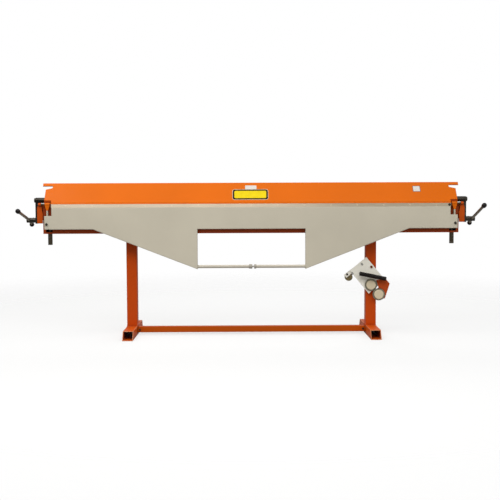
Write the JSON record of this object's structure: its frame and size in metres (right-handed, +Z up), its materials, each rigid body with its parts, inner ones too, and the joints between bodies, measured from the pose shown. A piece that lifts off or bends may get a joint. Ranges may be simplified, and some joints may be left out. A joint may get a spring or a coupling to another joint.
{
  "type": "sheet metal brake",
  "caption": "Hand folding machine for sheet metal: clamping beam with end levers, bending leaf with tie bar, post stand and a roller shear hung on a post.",
  "frame": {"origin": "on the floor, under the middle of the box round the machine", "axes": "+Z up, X along the beams, -Y towards the person who works at the machine"},
  "size_m": [3.043, 0.6816, 1.041],
  "materials": {
    "orange_paint": "semi-gloss powder coat, light orange peel",
    "stand_paint": "semi-gloss powder coat, light orange peel",
    "grey_paint": "satin powder coat",
    "ivory_paint": "satin paint",
    "blade_steel": "ground steel with a film of oil",
    "bare_steel": "turned and zinc plated",
    "spring_steel": "oiled wire",
    "black_steel": "blackened, oiled",
    "cutter_steel": "hardened and ground",
    "black_plastic": "moulded, polished",
    "roller_plastic": "turned, satin"
  },
  "bodies": {
    "root": {"lower_beam": "orange_paint", "table_rail": "bare_steel", "left_end_plate": "orange_paint", "right_end_plate": "orange_paint", "left_hinge_bracket": "orange_paint", "right_hinge_bracket": "orange_paint", "left_hinge_pin": "bare_steel", "right_hinge_pin": "bare_steel", "left_spring_housing": "black_steel", "right_spring_housing": "black_steel", "left_lift_spring": "spring_steel", "right_lift_spring": "spring_steel", "left_post": "stand_paint", "right_post": "stand_paint", "left_foot": "stand_paint", "right_foot": "stand_paint", "crossbar": "stand_paint", "left_crossbar_bolt": "black_steel", "right_crossbar_bolt": "black_steel", "shear_peg": "stand_paint"},
    "upper_beam": {"upper_beam_front": "orange_paint", "upper_beam_back": "orange_paint", "upper_jaw": "orange_paint", "left_beam_cap": "orange_paint", "right_beam_cap": "orange_paint", "left_clamp_pin": "black_steel", "right_clamp_pin": "black_steel", "left_clamp_strap": "black_steel", "right_clamp_strap": "black_steel", "left_lift_rod": "bare_steel", "right_lift_rod": "bare_steel"},
    "bending_beam": {"bending_leaf": "grey_paint", "bending_blade": "blade_steel", "left_leaf_arm": "grey_paint", "right_leaf_arm": "grey_paint", "left_hinge_sleeve": "orange_paint", "right_hinge_sleeve": "orange_paint", "left_arm_bolt": "black_steel", "right_arm_bolt": "black_steel", "left_tie_bar": "ivory_paint", "right_tie_bar": "ivory_paint", "left_tie_nut": "ivory_paint", "right_tie_nut": "ivory_paint", "tie_stud": "bare_steel"},
    "left_lever": {"left_cam_shaft": "black_steel", "left_lever_rod": "bare_steel", "left_lever_knob": "black_plastic", "left_lever_ball": "black_plastic"},
    "right_lever": {"right_cam_shaft": "black_steel", "right_lever_rod": "bare_steel", "right_lever_knob": "black_plastic", "right_lever_ball": "black_plastic"},
    "shear": {"shear_plate": "ivory_paint", "shear_arm": "orange_paint", "shear_handle": "black_plastic", "roller_bracket": "ivory_paint"},
    "shear_upper_cutter": {"upper_cutter": "cutter_steel"},
    "shear_lower_cutter": {"lower_cutter": "cutter_steel"},
    "shear_roller": {"guide_roller": "roller_plastic"}
  },
  "joints": [
    {"name": "leaf_swing", "type": "hinge", "parent": "root", "child": "bending_beam", "pos_m": [0, -0.07015, 0.898], "axis": [-1, 0, 0], "range_deg": [0, 110]},
    {"name": "left_lever_turn", "type": "hinge", "parent": "root", "child": "left_lever", "pos_m": [-1.503, -0.01915, 0.791], "axis": [-1, 0, 0], "range_deg": [0, 120]},
    {"name": "right_lever_turn", "type": "hinge", "parent": "root", "child": "right_lever", "pos_m": [1.503, -0.01915, 0.791], "axis": [-1, 0, 0], "range_deg": [0, 120]},
    {"name": "upper_beam_lift", "type": "slide", "parent": "root", "child": "upper_beam", "axis": [0, 0, 1], "range_m": [0, 0.0105], "deforming": ["left_lift_spring", "right_lift_spring"]},
    {"name": "shear_lift_off", "type": "slide", "parent": "root", "child": "shear", "axis": [0, -1, 0], "range_m": [0, 0.06]},
    {"name": "upper_cutter_turn", "type": "hinge", "parent": "shear", "child": "shear_upper_cutter", "pos_m": [0.81683, -0.02, 0.34004], "axis": [0, 1, 0], "continuous": true},
    {"name": "lower_cutter_turn", "type": "hinge", "parent": "shear", "child": "shear_lower_cutter", "pos_m": [0.86951, -0.03, 0.2759], "axis": [0, 1, 0], "continuous": true},
    {"name": "guide_roller_turn", "type": "hinge", "parent": "shear", "child": "shear_roller", "pos_m": [0.66675, -0.02, 0.39277], "axis": [0, 1, 0], "continuous": true}
  ],
  "couplings": [
    {"joint": "right_lever_turn", "follows": "left_lever_turn", "ratio": 1},
    {"joint": "upper_beam_lift", "follows": "left_lever_turn", "m_per_rad": 0.004962}
  ]
}
